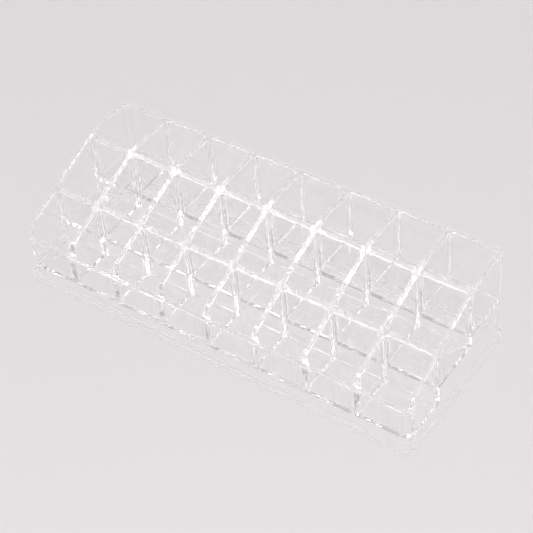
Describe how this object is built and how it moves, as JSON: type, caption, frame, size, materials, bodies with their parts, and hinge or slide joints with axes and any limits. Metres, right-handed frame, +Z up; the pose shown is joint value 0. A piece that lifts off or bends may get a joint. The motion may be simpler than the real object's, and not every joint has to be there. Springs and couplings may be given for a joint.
{
  "type": "vanity organizer",
  "caption": "Clear tiered organizer for lipsticks and small cosmetics: a grid of square cells in three stepped rows inside a round-cornered shell with a foot flange.",
  "frame": {"origin": "on the table, under the middle of the foot flange", "axes": "+X along the length to the right end, +Z up, -Y towards the low front row"},
  "size_m": [0.2298, 0.0906, 0.057],
  "materials": {
    "clear_plastic": "clear, polished, moulded"
  },
  "bodies": {
    "root": {"outer_shell": "clear_plastic", "back_row_floor": "clear_plastic", "middle_row_floor": "clear_plastic", "front_row_floor": "clear_plastic", "rear_tier_wall": "clear_plastic", "front_tier_wall": "clear_plastic", "cross_divider_1": "clear_plastic", "cross_divider_2": "clear_plastic", "cross_divider_3": "clear_plastic", "cross_divider_4": "clear_plastic", "cross_divider_5": "clear_plastic", "cross_divider_6": "clear_plastic", "cross_divider_7": "clear_plastic"}
  },
  "joints": []
}
